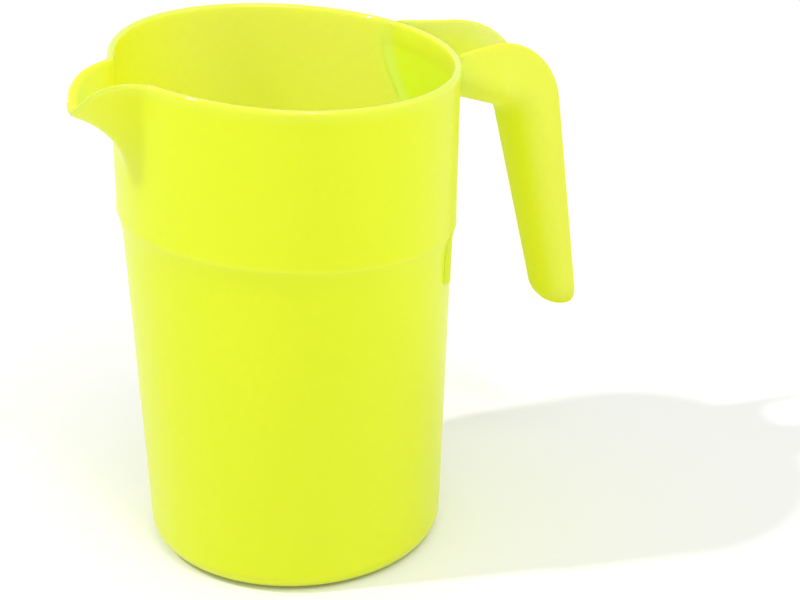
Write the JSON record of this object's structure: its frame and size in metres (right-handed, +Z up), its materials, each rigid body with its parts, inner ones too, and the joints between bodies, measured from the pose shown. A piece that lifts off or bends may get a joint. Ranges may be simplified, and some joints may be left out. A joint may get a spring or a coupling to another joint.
{
  "type": "plastic pitcher",
  "caption": "Stackable translucent plastic pitcher with a sloping rim, a drooping pouring spout, a ledge round the body and an open-channel hook handle with a free lower end.",
  "frame": {"origin": "middle of the flat underside, on the axis of the round body", "axes": "+Z up along the body's axis, -X towards the spout, +X towards the handle, XZ the plane of symmetry"},
  "size_m": [0.1977, 0.123, 0.1894],
  "materials": {
    "pitcher_plastic": "satin, translucent, fluorescent yellow-green"
  },
  "bodies": {
    "root": {"base_floor": "pitcher_plastic", "heel_ring": "pitcher_plastic", "lower_wall": "pitcher_plastic", "stacking_ledge": "pitcher_plastic", "upper_wall": "pitcher_plastic", "rim_lip": "pitcher_plastic", "pour_spout": "pitcher_plastic", "handle_bridge": "pitcher_plastic", "handle_elbow": "pitcher_plastic", "handle_grip": "pitcher_plastic", "handle_tip": "pitcher_plastic", "stacking_rib_left": "pitcher_plastic", "stacking_rib_right": "pitcher_plastic"}
  },
  "joints": []
}
